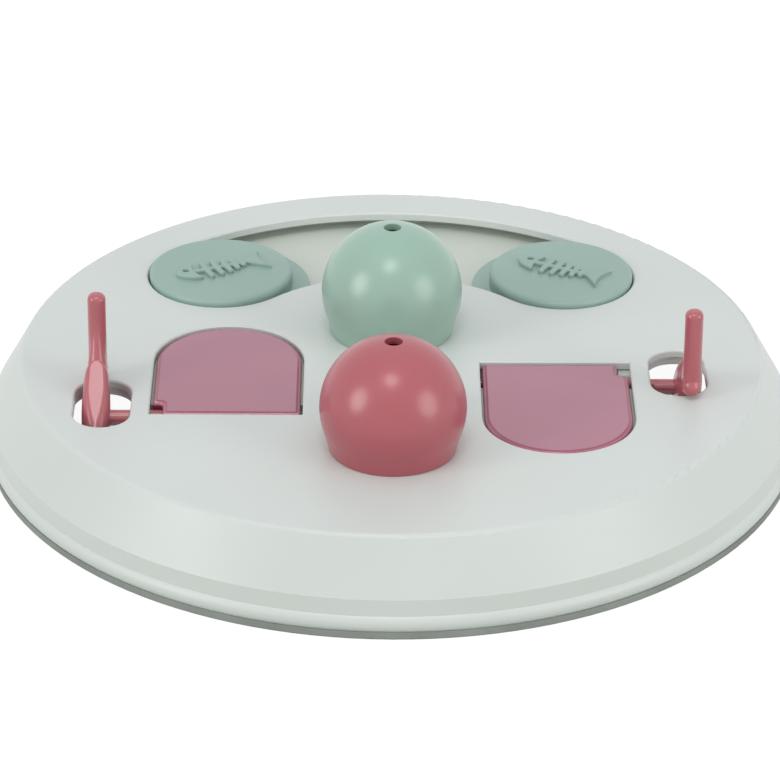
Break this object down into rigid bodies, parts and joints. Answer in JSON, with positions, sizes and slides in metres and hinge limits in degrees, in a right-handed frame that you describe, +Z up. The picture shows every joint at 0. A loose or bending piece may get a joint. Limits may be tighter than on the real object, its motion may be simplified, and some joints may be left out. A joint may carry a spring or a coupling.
{
  "type": "cat puzzle board",
  "caption": "Round treat puzzle board for cats with lift-off domes, round sliders in a curved track and flip lids opened by levers, on a rubber foot ring.",
  "frame": {"origin": "centre of the board on the surface that it rests on", "axes": "+Z up; +Y from the front edge to the side with the curved track; +X to the right seen from the front"},
  "size_m": [0.2304, 0.2304, 0.0581],
  "materials": {
    "board_plastic": "satin",
    "ring_rubber": "matt",
    "tray_plastic": "satin",
    "pink_plastic": "gloss",
    "green_plastic": "gloss",
    "tinted_plastic": "gloss, see-through",
    "screw_steel": "plain"
  },
  "bodies": {
    "board": {"board_shell": "board_plastic", "rubber_ring": "ring_rubber", "slide_track": "tray_plastic", "track_screws": "screw_steel", "treat_well_left": "tray_plastic", "treat_well_right": "tray_plastic", "well_screws": "screw_steel"},
    "flap_left": {"lid_left": "tinted_plastic", "lever_left": "pink_plastic"},
    "flap_right": {"lid_right": "tinted_plastic", "lever_right": "pink_plastic"},
    "disc_left": {"slider_left": "green_plastic"},
    "disc_right": {"slider_right": "green_plastic"},
    "cup_front": {"dome_front": "pink_plastic"},
    "cup_back": {"dome_back": "green_plastic"}
  },
  "joints": [
    {"name": "left_flap", "type": "hinge", "parent": "board", "child": "flap_left", "pos_m": [-0.07, -0.03194, 0.0221], "axis": [1, 0, 0], "range_deg": [0, 100]},
    {"name": "right_flap", "type": "hinge", "parent": "board", "child": "flap_right", "pos_m": [0.07, -0.01205, 0.0221], "axis": [-1, 0, 0], "range_deg": [0, 100]},
    {"name": "left_slider_travel", "type": "hinge", "parent": "board", "child": "disc_left", "pos_m": [0, 0, 0.0221], "axis": [0, 0, -1], "range_deg": [0, 23.6]},
    {"name": "right_slider_travel", "type": "hinge", "parent": "board", "child": "disc_right", "pos_m": [0, 0, 0.0221], "axis": [0, 0, 1], "range_deg": [0, 23.6]},
    {"name": "front_dome_lift", "type": "slide", "parent": "board", "child": "cup_front", "axis": [0, 0, 1], "range_m": [0, 0.06]},
    {"name": "back_dome_lift", "type": "slide", "parent": "board", "child": "cup_back", "axis": [0, 0, 1], "range_m": [0, 0.06]}
  ]
}
